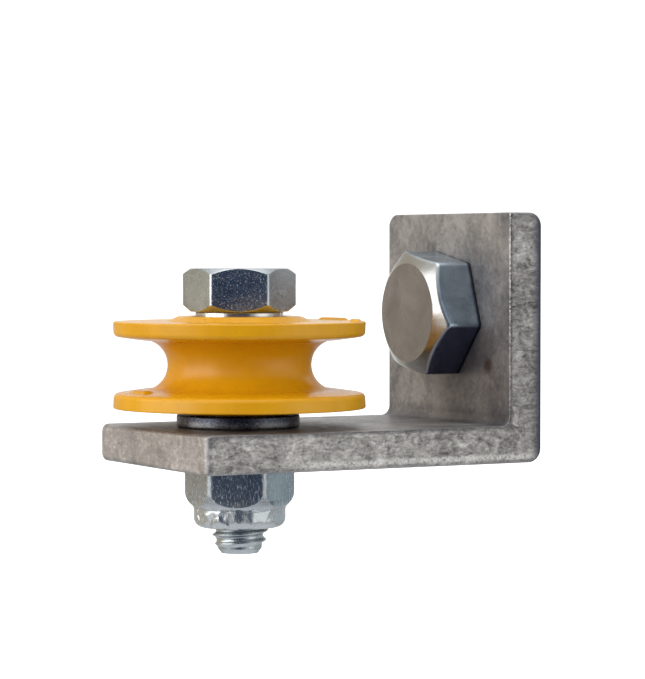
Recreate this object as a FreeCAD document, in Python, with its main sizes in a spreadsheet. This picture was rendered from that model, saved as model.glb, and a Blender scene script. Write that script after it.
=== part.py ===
import FreeCAD, Part
import math
import os
import Sketcher

# Sliding door roller: a grooved wheel that turns on a bush, clamped to an angle bracket by an
# M10 bolt and a lock nut, and an M12 bolt that fastens the bracket to the door.
#
# Frame, in millimetres: the origin is the centre of the mounting hole on the bracket's outer
# face, +X points out of that face towards the door, +Z is up along the wheel's axle, and +Y
# runs across the bracket's width.

SIZES = (
    # angle bracket
    ("leg_long", 60.0), ("leg_short", 40.0), ("plate_thick", 6.0), ("plate_width", 38.0),
    ("heel_radius", 2.0), ("inner_radius", 1.5), ("toe_radius", 2.6), ("corner_radius", 2.5),
    ("end_radius", 1.2), ("tip_radius", 1.0), ("mount_height", 23.8), ("axle_reach", 44.6),
    ("axle_hole", 10.5), ("mount_hole", 13.0),
    # flat washer under the wheel
    ("washer_outer", 20.0), ("washer_inner", 10.5), ("washer_thick", 2.0), ("washer_edge", 0.3),
    # bush that the wheel turns on
    ("bush_outer", 14.0), ("bush_inner", 10.2), ("bush_length", 16.3), ("bush_edge", 0.3),
    # grooved wheel
    ("wheel_outer", 40.0), ("wheel_bore", 14.1), ("hub_length", 15.6), ("hub_gap", 0.1),
    ("boss_top", 18.9), ("boss_base", 21.2), ("boss_rise", 0.75), ("rim_radius", 0.5),
    ("groove_radius", 4.0), ("groove_neck", 22.8), ("groove_flare", 8.0), ("bore_edge", 0.4),
    # axle bolt, M10
    ("axle_flats", 16.0), ("axle_corners", 17.9), ("axle_head", 6.8), ("axle_crown", 15.6),
    ("axle_seat", 14.8), ("axle_neck", 9.9), ("axle_runout", 10.0), ("axle_thread", 9.9),
    ("axle_length", 38.2), ("axle_tip", 6.0), ("axle_taper", 3.8), ("axle_turn", 27.5),
    # lock nut, M10, and its nylon ring
    ("nut_flats", 16.0), ("nut_corners", 17.6), ("nut_shoulder", 4.4), ("nut_hex", 7.1),
    ("nut_length", 9.8), ("collar_outer", 14.5), ("collar_step", 0.1), ("collar_radius", 1.3),
    ("nut_bore", 10.0), ("nut_turn", 31.2), ("lip_bore", 11.0), ("ring_outer", 12.4),
    ("ring_inner", 9.6), ("ring_start", 7.3), ("ring_length", 1.9), ("ring_edge", 0.1),
    # mounting bolt, M12
    ("stud_flats", 19.0), ("stud_corners", 21.2), ("stud_head", 7.8), ("stud_crown", 16.1),
    ("stud_seat", 21.2), ("stud_neck", 10.9), ("stud_runout", 6.1), ("stud_thread", 12.0),
    ("stud_length", 14.0), ("stud_tip", 9.6), ("stud_taper", 1.2), ("stud_turn", 40.8),
)
CHAMFER_SLOPE = "tan(30)"

doc = FreeCAD.newDocument("door_roller")
sheet = doc.addObject("Spreadsheet::Sheet", "Sizes")
for row, (alias, value) in enumerate(SIZES, start=1):
    sheet.set("A%d" % row, alias)
    sheet.set("B%d" % row, str(value))
    sheet.setAlias("B%d" % row, alias)
doc.recompute()


def size(text):
    """Value of an expression whose words are aliases of the sheet."""
    return float(sheet.evalExpression(text))


def bound(text):
    """The same expression, as another object of the document has to write it."""
    names = sorted((alias for alias, _ in SIZES), key=len, reverse=True)
    words = []
    for word in text.replace("(", "( ").replace(")", " )").split():
        words.append("Sizes." + word if word in names else word)
    return " ".join(words)


def new_body(label):
    body = doc.addObject("PartDesign::Body", label)
    body.Label = label
    return body


def new_sketch(body, name, role):
    plane = next(item for item in body.Origin.OriginFeatures if item.Role == role)
    sketch = body.newObject("Sketcher::SketchObject", name)
    sketch.AttachmentSupport = (plane, [""])
    sketch.MapMode = "FlatFace"
    return sketch


def bind(sketch, kind, first, second, text, name):
    """Distance along the sketch's x or y, from the first point to the second, from the sheet."""
    index = sketch.addConstraint(Sketcher.Constraint(kind, *first, *second, size(text)))
    sketch.renameConstraint(index, name)
    sketch.setExpression("Constraints." + name, bound(text))


ORIGIN = (-1, 1)


def outline(body, name, role, points):
    """Closed polygon whose corners are pairs of expressions."""
    sketch = new_sketch(body, name, role)
    places = [FreeCAD.Vector(size(x), size(y), 0) for x, y in points]
    count = len(places)
    for index in range(count):
        sketch.addGeometry(Part.LineSegment(places[index], places[(index + 1) % count]), False)
    for index in range(count):
        sketch.addConstraint(Sketcher.Constraint("Coincident", index, 2, (index + 1) % count, 1))
    for index, (x, y) in enumerate(points):
        bind(sketch, "DistanceX", ORIGIN, (index, 1), x, "across%d" % index)
        bind(sketch, "DistanceY", ORIGIN, (index, 1), y, "along%d" % index)
    return sketch


def turned(body, name, points, kind="PartDesign::Revolution"):
    """Solid, or with kind Groove a cut, turned about the body's Z axis."""
    sketch = outline(body, name + "_sketch", "XZ_Plane", points)
    feature = body.newObject(kind, name)
    feature.Profile = sketch
    feature.ReferenceAxis = (sketch, ["V_Axis"])
    feature.Angle = 360
    doc.recompute()
    return feature


def edges_where(shape, test):
    """Names of the edges whose middle point, as (x, y, z), passes the test."""
    names = []
    for index, edge in enumerate(shape.Edges, start=1):
        middle = edge.valueAt((edge.FirstParameter + edge.LastParameter) / 2)
        if test(middle.x, middle.y, middle.z):
            names.append("Edge%d" % index)
    return names


def rounded(body, name, radius, test):
    base = body.Tip
    fillet = body.newObject("PartDesign::Fillet", name)
    fillet.Base = (base, edges_where(base.Shape, test))
    fillet.setExpression("Radius", bound(radius))
    doc.recompute()
    return fillet


def near(value, target, room=0.05):
    return abs(value - target) < room


def place(body, x, z, axis=None, angle=0.0, turn=0.0):
    """Set a body at (x, 0, z), tipped by angle about axis, after a turn about its own Z."""
    tip = FreeCAD.Rotation(axis or FreeCAD.Vector(0, 0, 1), angle)
    spin = FreeCAD.Rotation(FreeCAD.Vector(0, 0, 1), turn)
    body.Placement = FreeCAD.Placement(FreeCAD.Vector(size(x), 0, size(z)), tip.multiply(spin))
    body.setExpression("Placement.Base.x", bound(x))
    body.setExpression("Placement.Base.z", bound(z))


def make_bracket():
    """Angle bracket: the wheel's bolt goes through one leg, the mounting bolt through the other."""
    body = new_body("angle_bracket")
    profile = outline(body, "profile", "XZ_Plane", (
        ("0", "0"), ("leg_long", "0"), ("leg_long", "leg_short"),
        ("leg_long - plate_thick", "leg_short"), ("leg_long - plate_thick", "plate_thick"),
        ("0", "plate_thick")))
    pad = body.newObject("PartDesign::Pad", "legs")
    pad.Profile = profile
    pad.Midplane = True
    pad.setExpression("Length", bound("plate_width"))
    doc.recompute()

    hole = new_sketch(body, "axle_hole_sketch", "XY_Plane")
    hole.addGeometry(Part.Circle(FreeCAD.Vector(1, 0, 0), FreeCAD.Vector(0, 0, 1), 1), False)
    hole.addConstraint(Sketcher.Constraint("PointOnObject", 0, 3, -1))
    bind(hole, "DistanceX", ORIGIN, (0, 3), "leg_long - axle_reach", "reach")
    index = hole.addConstraint(Sketcher.Constraint("Diameter", 0, size("axle_hole")))
    hole.renameConstraint(index, "diameter")
    hole.setExpression("Constraints.diameter", bound("axle_hole"))
    drill(body, "axle_hole", hole, "leg_short", "axle_hole", "plate_thick")

    hole = new_sketch(body, "mount_hole_sketch", "YZ_Plane")
    hole.addGeometry(Part.Circle(FreeCAD.Vector(0, 1, 0), FreeCAD.Vector(0, 0, 1), 1), False)
    hole.addConstraint(Sketcher.Constraint("PointOnObject", 0, 3, -2))
    bind(hole, "DistanceY", ORIGIN, (0, 3), "mount_height", "height")
    index = hole.addConstraint(Sketcher.Constraint("Diameter", 0, size("mount_hole")))
    hole.renameConstraint(index, "diameter")
    hole.setExpression("Constraints.diameter", bound("mount_hole"))
    drill(body, "mount_hole", hole, "leg_long + plate_thick", "mount_hole", "plate_thick")

    long, short = size("leg_long"), size("leg_short")
    thick, half = size("plate_thick"), size("plate_width / 2")
    rounded(body, "heel", "heel_radius", lambda x, y, z: near(x, long) and near(z, 0))
    rounded(body, "root", "inner_radius",
            lambda x, y, z: near(x, long - thick) and near(z, thick) and near(y, 0))
    rounded(body, "top_corners", "corner_radius",
            lambda x, y, z: near(abs(y), half) and near(z, short) and near(x, long - thick / 2))
    rounded(body, "end_corners", "end_radius",
            lambda x, y, z: near(abs(y), half) and near(x, 0) and near(z, thick / 2))
    rounded(body, "outer_toe", "toe_radius",
            lambda x, y, z: near(y, 0) and near(z, short) and near(x, long))
    rounded(body, "tip", "tip_radius", lambda x, y, z: near(y, 0) and near(x, 0))
    place(body, "0 - leg_long", "0 - mount_height")
    return body


def drill(body, name, sketch, depth, diameter, wall):
    """Straight hole through one wall; its volume is compared with the one it should take."""
    before = body.Shape.Volume
    pocket = body.newObject("PartDesign::Pocket", name)
    pocket.Profile = sketch
    pocket.Midplane = True
    pocket.setExpression("Length", bound("2 * ( %s )" % depth))
    doc.recompute()
    taken = before - body.Shape.Volume
    wanted = math.pi / 4 * size(diameter) ** 2 * size(wall)
    if abs(taken - wanted) > 0.01 * wanted:
        raise ValueError("%s took %.1f mm3, not %.1f" % (name, taken, wanted))


def make_ring(label, inner, outer, length, edge):
    """Plain ring standing on z = 0, with its four rims chamfered."""
    body = new_body(label)
    inside, outside = inner + " / 2", outer + " / 2"
    turned(body, label + "_ring", (
        (inside, edge), (inside + " + " + edge, "0"),
        (outside + " - " + edge, "0"), (outside, edge),
        (outside, length + " - " + edge), (outside + " - " + edge, length),
        (inside + " + " + edge, length), (inside, length + " - " + edge)))
    return body


def make_wheel():
    """Wheel with a round-bottomed groove for a bar, and a low boss on each side."""
    body = new_body("roller_wheel")
    turned(body, "blank", (
        ("wheel_bore / 2", "bore_edge"), ("wheel_bore / 2 + bore_edge", "0"),
        ("boss_top / 2", "0"), ("boss_base / 2", "boss_rise"), ("wheel_outer / 2", "boss_rise"),
        ("wheel_outer / 2", "hub_length - boss_rise"),
        ("boss_base / 2", "hub_length - boss_rise"), ("boss_top / 2", "hub_length"),
        ("wheel_bore / 2 + bore_edge", "hub_length"),
        ("wheel_bore / 2", "hub_length - bore_edge")))
    before = body.Shape.Volume
    sketch = new_sketch(body, "groove_sketch", "XZ_Plane")
    radius, flare = size("groove_radius"), math.radians(size("groove_flare"))
    centre_x, centre_z = size("groove_neck / 2 + groove_radius"), size("hub_length / 2")
    outside = size("wheel_outer / 2 + groove_radius")
    start_x = centre_x + radius * math.sin(flare)
    rise = radius * math.cos(flare)
    mouth = rise + (outside - start_x) * math.tan(flare)
    low = FreeCAD.Vector(start_x, centre_z - rise, 0)
    high = FreeCAD.Vector(start_x, centre_z + rise, 0)
    low_mouth = FreeCAD.Vector(outside, centre_z - mouth, 0)
    high_mouth = FreeCAD.Vector(outside, centre_z + mouth, 0)
    neck = Part.ArcOfCircle(
        Part.Circle(FreeCAD.Vector(centre_x, centre_z, 0), FreeCAD.Vector(0, 0, 1), radius),
        math.pi / 2 - flare, 3 * math.pi / 2 + flare)
    for curve in (neck, Part.LineSegment(low, low_mouth),
                  Part.LineSegment(low_mouth, high_mouth), Part.LineSegment(high_mouth, high)):
        sketch.addGeometry(curve, False)
    sketch.addConstraint(Sketcher.Constraint("Tangent", 0, 2, 1, 1))
    sketch.addConstraint(Sketcher.Constraint("Coincident", 1, 2, 2, 1))
    sketch.addConstraint(Sketcher.Constraint("Coincident", 2, 2, 3, 1))
    sketch.addConstraint(Sketcher.Constraint("Tangent", 3, 2, 0, 1))
    sketch.addConstraint(Sketcher.Constraint("Vertical", 2))
    bind(sketch, "DistanceX", ORIGIN, (0, 3), "groove_neck / 2 + groove_radius", "centre_x")
    bind(sketch, "DistanceY", ORIGIN, (0, 3), "hub_length / 2", "centre_z")
    bind(sketch, "DistanceX", ORIGIN, (2, 1), "wheel_outer / 2 + groove_radius", "outside")
    bind(sketch, "DistanceY", (2, 1), (0, 3), "groove_radius * cos( groove_flare ) + "
         "( wheel_outer / 2 - groove_neck / 2 - groove_radius * sin( groove_flare ) )"
         " * tan( groove_flare )", "low_mouth")
    bind(sketch, "DistanceY", (0, 3), (2, 2), "groove_radius * cos( groove_flare ) + "
         "( wheel_outer / 2 - groove_neck / 2 - groove_radius * sin( groove_flare ) )"
         " * tan( groove_flare )", "high_mouth")
    index = sketch.addConstraint(Sketcher.Constraint("Radius", 0, radius))
    sketch.renameConstraint(index, "radius")
    sketch.setExpression("Constraints.radius", bound("groove_radius"))
    groove = body.newObject("PartDesign::Groove", "groove")
    groove.Profile = sketch
    groove.ReferenceAxis = (sketch, ["V_Axis"])
    groove.Angle = 360
    doc.recompute()
    if body.Shape.Volume > 0.8 * before:
        raise ValueError("the groove took too little")
    rim = size("wheel_outer / 2")
    rounded(body, "rims", "rim_radius",
            lambda x, y, z: near(math.hypot(x, y), rim) and not near(z, 0, 0.5))
    place(body, "0 - axle_reach", "plate_thick + washer_thick + hub_gap - mount_height")
    return body


def hex_blank(body, flats, height):
    prism = body.newObject("PartDesign::AdditivePrism", "hexagon")
    prism.Polygon = 6
    prism.setExpression("Circumradius", bound(flats + " / 2 / cos(30)"))
    prism.setExpression("Height", bound(height))
    doc.recompute()


def make_bolt(label, prefix):
    """Hexagon bolt: the head's end face is on z = 0 and the shank points along +Z."""
    body = new_body(label)
    flats, corners, head, crown, seat, neck, runout, thread, length, tip, taper = (
        prefix + "_" + word for word in
        ("flats", "corners", "head", "crown", "seat", "neck", "runout", "thread", "length",
         "tip", "taper"))
    hex_blank(body, flats, head)
    far = flats + " / 2 + " + head
    crown_drop = "( %s - %s ) / 2 * %s" % (corners, crown, CHAMFER_SLOPE)
    seat_drop = "( %s - %s ) / 2 * %s" % (corners, seat, CHAMFER_SLOPE)
    profile = [(crown + " / 2", "0"), (corners + " / 2", crown_drop)]
    if size(corners) > size(seat):
        profile += [(corners + " / 2", "%s - %s" % (head, seat_drop)), (seat + " / 2", head)]
    else:
        profile += [(corners + " / 2", head)]
    turned(body, "trim", profile + [(far, head), (far, "0")], "PartDesign::Groove")
    shank = [("0", head), (neck + " / 2", head), (neck + " / 2", head + " + " + runout)]
    if size(thread) > size(neck):
        shank += [(thread + " / 2", head + " + " + runout)]
    turned(body, "shank", shank + [
        (thread + " / 2", "%s + %s - %s" % (head, length, taper)),
        (tip + " / 2", "%s + %s" % (head, length)), ("0", "%s + %s" % (head, length))])
    return body


def make_nut():
    """Lock nut: the seat is on z = 0, and a collar that holds the ring is at the far end."""
    body = new_body("lock_nut")
    hex_blank(body, "nut_flats", "nut_length")
    turned(body, "trim", (
        ("nut_corners / 2", "0"), ("nut_corners / 2", "nut_shoulder"),
        ("nut_flats / 2", "nut_hex"), ("collar_outer / 2", "nut_hex + collar_step"),
        ("collar_outer / 2", "nut_length"), ("nut_corners", "nut_length"),
        ("nut_corners", "0")), "PartDesign::Groove")
    turned(body, "bore", (
        ("0", "0"), ("nut_bore / 2", "0"), ("nut_bore / 2", "ring_start"),
        ("ring_outer / 2", "ring_start"), ("ring_outer / 2", "ring_start + ring_length"),
        ("lip_bore / 2", "ring_start + ring_length"), ("lip_bore / 2", "nut_length"),
        ("0", "nut_length")), "PartDesign::Groove")
    collar, end = size("collar_outer / 2"), size("nut_length")
    rounded(body, "collar_round", "collar_radius",
            lambda x, y, z: near(math.hypot(x, y), collar) and near(z, end))
    return body


TIP_OVER = FreeCAD.Vector(1, 0, 0)
SIDEWAYS = FreeCAD.Vector(0, 1, 0)
BUSH_BASE = "plate_thick + washer_thick - mount_height"

bracket = make_bracket()
wheel = make_wheel()

washer = make_ring("flat_washer", "washer_inner", "washer_outer", "washer_thick", "washer_edge")
place(washer, "0 - axle_reach", "plate_thick - mount_height")

bush = make_ring("bearing_bush", "bush_inner", "bush_outer", "bush_length", "bush_edge")
place(bush, "0 - axle_reach", BUSH_BASE)

axle = make_bolt("axle_bolt", "axle")
place(axle, "0 - axle_reach", BUSH_BASE + " + bush_length + axle_head",
      TIP_OVER, 180, size("axle_turn"))

nut = make_nut()
place(nut, "0 - axle_reach", "0 - mount_height", TIP_OVER, 180, size("nut_turn"))

ring = make_ring("lock_nut_insert", "ring_inner", "ring_outer", "ring_length", "ring_edge")
place(ring, "0 - axle_reach", "0 - mount_height - ring_start - ring_length")

mounting = make_bolt("mounting_bolt", "stud")
place(mounting, "0 - plate_thick - stud_head", "0", SIDEWAYS, 90, size("stud_turn"))

doc.recompute()
for item in doc.Objects:
    if "Invalid" in item.State or "Error" in item.State:
        raise ValueError("%s failed: %s" % (item.Name, item.State))

os.makedirs("parts", exist_ok=True)
for body in (bracket, wheel, washer, bush, axle, nut, ring, mounting):
    shape = body.Shape
    if shape.isNull() or not shape.isValid() or len(shape.Solids) != 1:
        raise ValueError("bad shape: " + body.Label)
    shape.exportStep("parts/%s.step" % body.Label)
    box = shape.BoundBox
    print("%-16s %9.1f mm3  x %7.2f %7.2f  y %7.2f %7.2f  z %7.2f %7.2f" % (
        body.Label, shape.Volume, box.XMin, box.XMax, box.YMin, box.YMax, box.ZMin, box.ZMax))
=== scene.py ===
import math
from types import SimpleNamespace
import bmesh
import bpy
from mathutils import Matrix, Vector


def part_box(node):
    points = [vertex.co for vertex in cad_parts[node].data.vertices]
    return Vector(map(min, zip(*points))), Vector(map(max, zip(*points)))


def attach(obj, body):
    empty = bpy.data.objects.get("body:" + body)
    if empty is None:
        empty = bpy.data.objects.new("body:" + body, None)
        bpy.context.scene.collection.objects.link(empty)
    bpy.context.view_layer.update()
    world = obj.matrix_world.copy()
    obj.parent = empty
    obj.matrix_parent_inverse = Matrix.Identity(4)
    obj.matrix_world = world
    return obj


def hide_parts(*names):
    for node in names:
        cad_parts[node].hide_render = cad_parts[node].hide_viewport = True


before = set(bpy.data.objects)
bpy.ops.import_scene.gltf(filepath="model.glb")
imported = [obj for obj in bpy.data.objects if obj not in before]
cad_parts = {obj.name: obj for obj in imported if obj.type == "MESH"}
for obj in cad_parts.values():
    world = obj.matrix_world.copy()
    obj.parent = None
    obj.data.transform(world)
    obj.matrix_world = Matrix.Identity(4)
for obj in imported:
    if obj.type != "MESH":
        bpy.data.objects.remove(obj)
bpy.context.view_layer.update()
MM = 0.001


# ---------------------------------------------------------------- places, from the frame, in mm

def span(node, axis):
    """Lowest and highest place of a CAD piece along an axis."""
    low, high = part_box(node)
    return low[axis] / MM, high[axis] / MM


X, Y, Z = 0, 1, 2
PLATE_LEFT, PLATE_RIGHT = span("angle_bracket", X)
PLATE_FRONT, PLATE_BACK = span("angle_bracket", Y)
PLATE_BOTTOM, PLATE_TOP = span("angle_bracket", Z)
LEDGE, WASHER_TOP = span("flat_washer", Z)
THICK = LEDGE - PLATE_BOTTOM
WHEEL_LEFT, WHEEL_RIGHT = span("roller_wheel", X)
AXLE_X = (WHEEL_LEFT + WHEEL_RIGHT) / 2
WHEEL_R = (WHEEL_RIGHT - WHEEL_LEFT) / 2
HUB_LOW, HUB_HIGH = span("roller_wheel", Z)
SEAT = span("bearing_bush", Z)[1]
AXLE_END, HEAD_TOP = span("axle_bolt", Z)
NUT_END = span("lock_nut", Z)[0]
RING_LOW, RING_TOP = span("lock_nut_insert", Z)
CROWN_X, STUD_END = span("mounting_bolt", X)

# A point on each bolt's axis, and which way each bolt's head points: up, and into the angle.
AXLE_CENTRE, BOLT_CENTRE = Vector((AXLE_X, 0, 0)), Vector((0, 0, 0))
HEAD_UP = Matrix.Identity(3)
HEAD_INWARD = Matrix(((0, 0, -1), (0, 1, 0), (1, 0, 0)))


# ---------------------------------------------------------------- node trees

class Nodes:
    """A node tree, with short calls for the few nodes that the scene uses."""

    def __init__(self, tree):
        self.tree = tree
        tree.nodes.clear()

    def feed(self, socket, value):
        """Link a socket to another one, or set it to a constant."""
        if isinstance(value, bpy.types.NodeSocket):
            self.tree.links.new(value, socket)
        else:
            socket.default_value = value

    def add(self, kind, settings=None, inputs=None):
        """New node, with its settings made and its inputs linked or set."""
        node = self.tree.nodes.new(kind)
        for name, value in (settings or {}).items():
            setattr(node, name, value)
        for name, value in (inputs or {}).items():
            self.feed(node.inputs[name], value)
        return node

    def mix(self, share, first, second):
        """Colour between two others."""
        node = self.add("ShaderNodeMix", {"data_type": "RGBA"})
        share_in, first_in, second_in, colour_out = 0, 6, 7, 2
        self.feed(node.inputs[share_in], share)
        self.feed(node.inputs[first_in], first)
        self.feed(node.inputs[second_in], second)
        return node.outputs[colour_out]

    def maths(self, operation, first, second=0.0):
        """One step of arithmetic, on two values or on the first alone."""
        return self.add("ShaderNodeMath", {"operation": operation},
                        {0: first, 1: second}).outputs[0]

    def times(self, product, *factors):
        """Product of values, or of masks: high only where all of them are."""
        for factor in factors:
            product = self.maths("MULTIPLY", product, factor)
        return product

    def axes(self, vector):
        """The parts of a vector, to be picked by the name of their axis."""
        return self.add("ShaderNodeSeparateXYZ", {}, {0: vector}).outputs


class Surface(Nodes):
    """A material whose patterns are all measured in millimetres in the object's own frame."""

    def __init__(self, name):
        self.material = bpy.data.materials.new(name)
        self.material.use_nodes = True
        super().__init__(self.material.node_tree)
        coordinates = self.add("ShaderNodeTexCoord").outputs
        self.place, self.facing = coordinates["Object"], coordinates["Normal"]

    def total(self, *parts):
        """Sum of values, each times its weight."""
        weighted = [self.times(value, weight) for weight, value in parts]
        whole = weighted[0]
        for value in weighted[1:]:
            whole = self.maths("ADD", whole, value)
        return whole

    def stretched(self, scale=(1, 1, 1), turn=(0, 0, 0), shift_mm=(0, 0, 0)):
        """Places, scaled, turned by degrees and moved: where a pattern is looked up."""
        inputs = {"Vector": self.place, "Scale": scale,
                  "Location": tuple(step * MM for step in shift_mm),
                  "Rotation": tuple(math.radians(angle) for angle in turn)}
        return self.add("ShaderNodeMapping", {"vector_type": "POINT"}, inputs).outputs[0]

    def noise(self, per_mm, detail, rough, where=None, warp=0.0):
        """Cloudy pattern, with about per_mm patches in a millimetre."""
        inputs = {"Vector": where or self.place, "Scale": per_mm / MM, "Detail": detail,
                  "Roughness": rough, "Distortion": warp}
        return self.add("ShaderNodeTexNoise", {}, inputs).outputs["Fac"]

    def distance(self, centre_mm, share):
        """Distance from a point, along the axes whose share is 1."""
        centre = tuple(part * MM for part in centre_mm)
        flat = self.add("ShaderNodeVectorMath", {"operation": "MULTIPLY"},
                        {0: self.place, 1: share}).outputs["Vector"]
        return self.add("ShaderNodeVectorMath", {"operation": "DISTANCE"},
                        {0: flat, 1: centre}).outputs["Value"]

    def ramp(self, value, *stops):
        """Colour that follows a value through stops of (value, colour)."""
        node = self.add("ShaderNodeValToRGB", {}, {"Fac": value})
        points = node.color_ramp.elements
        while len(points) < len(stops):
            points.new(0.5)
        for point, (position, colour) in zip(points, stops):
            point.position = position
            point.color = colour + (1,)
        return node.outputs["Color"]

    def between(self, value, low, high, first=0.0, second=1.0):
        """first at low, second at high, and a straight line between them."""
        inputs = {"Value": value, "From Min": low, "From Max": high,
                  "To Min": first, "To Max": second}
        return self.add("ShaderNodeMapRange", {"clamp": True}, inputs).outputs["Result"]

    def between_mm(self, value, low, high, first=0.0, second=1.0):
        """The same for a place or a distance, with low and high in mm."""
        return self.between(value, low * MM, high * MM, first, second)

    def painted(self, colour, paint, *masks):
        """A colour painted over by another where every mask is high."""
        return self.mix(self.times(*masks), colour, paint + (1,))

    def bump(self, height, depth_mm, strength, under=None):
        """Normal of a pattern of heights, on top of a coarser one if that is given."""
        inputs = {"Height": height, "Distance": depth_mm * MM, "Strength": strength}
        if under is not None:
            inputs["Normal"] = under
        return self.add("ShaderNodeBump", {}, inputs).outputs["Normal"]

    def principled(self, inputs):
        """The finished material, with its one shader."""
        shader = self.add("ShaderNodeBsdfPrincipled", {}, inputs)
        self.add("ShaderNodeOutputMaterial", {}, {"Surface": shader.outputs["BSDF"]})
        return self.material


# ---------------------------------------------------------------- camera, light and floor

CAMERA_AZIMUTH, CAMERA_ELEVATION = -29.2, 1.75
CAMERA_DISTANCE = 456.0
TARGET = Vector((-29.0, 1.0, -4.2))
LENS, SENSOR = 150.0, 36.0
NEAR_CLIP, FAR_CLIP = 0.01, 20.0


def round_about(azimuth, elevation):
    """Unit vector towards a compass point: azimuth 0 is the camera's side, 90 its right."""
    turn, rise = math.radians(azimuth + CAMERA_AZIMUTH), math.radians(elevation)
    return Vector((math.sin(turn) * math.cos(rise), -math.cos(turn) * math.cos(rise),
                   math.sin(rise)))


def aim(thing, centre, towards, away):
    """Set a camera or a light off to one side of a centre, looking back at it."""
    bpy.context.collection.objects.link(thing)
    thing.location = centre + towards * away
    thing.rotation_mode = "QUATERNION"
    thing.rotation_quaternion = (-towards).to_track_quat("-Z", "Y")


def make_camera():
    data = bpy.data.cameras.new("camera")
    data.lens, data.sensor_width = LENS, SENSOR
    data.clip_start, data.clip_end = NEAR_CLIP, FAR_CLIP
    camera = bpy.data.objects.new("camera", data)
    aim(camera, TARGET * MM, round_about(0, CAMERA_ELEVATION), CAMERA_DISTANCE * MM)
    bpy.context.scene.camera = camera


# Angles in degrees round the part, sizes and distance in metres. A softbox that isn't mirrored
# lights the part without showing as a bright patch on its polished faces.
SOFTBOXES = (
    dict(name="key", azimuth=-68, elevation=18, away=0.9, wide=1.0, tall=0.65, watts=4.6,
         colour=(1.0, 0.98, 0.95), mirrored=True),
    dict(name="front", azimuth=-22, elevation=16, away=1.0, wide=0.9, tall=0.6, watts=2.4,
         colour=(1.0, 1.0, 1.0), mirrored=False),
    dict(name="top", azimuth=-20, elevation=78, away=1.0, wide=0.7, tall=0.7, watts=2.2,
         colour=(1.0, 1.0, 1.0), mirrored=True),
    dict(name="fill", azimuth=72, elevation=16, away=1.1, wide=0.8, tall=0.6, watts=2.4,
         colour=(0.96, 0.98, 1.0), mirrored=False),
)


def make_softbox(name, azimuth, elevation, away, wide, tall, watts, colour, mirrored):
    data = bpy.data.lights.new(name, "AREA")
    data.shape, data.size, data.size_y = "RECTANGLE", wide, tall
    data.energy, data.color = watts, colour
    light = bpy.data.objects.new(name, data)
    light.visible_glossy = mirrored
    middle = Vector(((PLATE_LEFT + PLATE_RIGHT) / 2, 0, 0)) * MM
    aim(light, middle, round_about(azimuth, elevation), away)


# Each patch of the studio is a colour, a centre (azimuth, elevation) and two angles in degrees:
# inside the first it is full, past the second it is gone.
STUDIO_BASE = (0.46, 0.46, 0.45)
STUDIO_PATCHES = (
    ((1.1, 1.1, 1.1), (0, 90), 20, 60),
    ((0.90, 0.91, 0.91), (180, 0), 14, 34),
    ((0.50, 0.44, 0.345), (-120, 5), 25, 50),
    ((1.15, 1.18, 1.20), (-60, -8), 8, 24),
    ((0.48, 0.57, 0.60), (118, 5), 14, 30),
    ((0.78, 0.80, 0.83), (0, -90), 35, 65),
    ((1.25, 1.27, 1.25), (64, -8), 9, 26),
    ((0.022, 0.048, 0.106), (0, 0), 20, 40),
    ((0.030, 0.040, 0.080), (0, -36), 4, 20),
    ((0.22, 0.28, 0.36), (64, 31), 8, 22),
)
BACKDROP_STRENGTH = 1.15


def make_studio():
    """White to the camera; reflections see a room that is dark behind the camera."""
    world = bpy.data.worlds.new("studio")
    bpy.context.scene.world = world
    world.use_nodes = True
    tree = Nodes(world.node_tree)
    way = tree.add("ShaderNodeTexCoord").outputs["Generated"]
    colour = STUDIO_BASE + (1,)
    for shade, (azimuth, elevation), full, gone in STUDIO_PATCHES:
        centre = round_about(azimuth, elevation)
        dot = tree.add("ShaderNodeVectorMath", {"operation": "DOT_PRODUCT"}, {0: way, 1: centre})
        share = tree.add("ShaderNodeMapRange", {"interpolation_type": "SMOOTHSTEP"},
                         {"Value": dot.outputs["Value"],
                          "From Min": math.cos(math.radians(gone)),
                          "From Max": math.cos(math.radians(full))}).outputs["Result"]
        colour = tree.mix(share, colour, shade + (1,))
    room = tree.add("ShaderNodeBackground", {}, {"Color": colour, "Strength": 1.0})
    backdrop = tree.add("ShaderNodeBackground", {},
                        {"Color": (1, 1, 1, 1), "Strength": BACKDROP_STRENGTH})
    seen = tree.add("ShaderNodeLightPath").outputs["Is Camera Ray"]
    both = tree.add("ShaderNodeMixShader", {},
                    {0: seen, 1: room.outputs[0], 2: backdrop.outputs[0]})
    tree.add("ShaderNodeOutputWorld", {}, {"Surface": both.outputs[0]})


FLOOR_DROP_MM = 32.0
FLOOR_HALF_M = 6.0


def make_floor():
    """A pale sheet below the roller, lit so that it runs into the background."""
    half, height = FLOOR_HALF_M, (AXLE_END - FLOOR_DROP_MM) * MM
    corners = [(-half, -half, height), (half, -half, height), (half, half, height),
               (-half, half, height)]
    mesh = bpy.data.meshes.new("floor")
    mesh.from_pydata(corners, [], [(0, 1, 2, 3)])
    floor = bpy.data.objects.new("floor", mesh)
    bpy.context.collection.objects.link(floor)
    tree = Surface("floor_paper")
    grain = tree.noise(40.0, 3.0, 0.5)
    shade = tree.ramp(grain, (0.3, (0.86, 0.86, 0.86)), (0.7, (0.88, 0.88, 0.88)))
    mesh.materials.append(tree.principled({
        "Base Color": shade, "Roughness": 0.9,
        "Emission Color": (1, 1, 1, 1), "Emission Strength": 0.75}))
    floor.visible_glossy = False
    floor.visible_diffuse = False


# ---------------------------------------------------------------- materials

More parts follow.
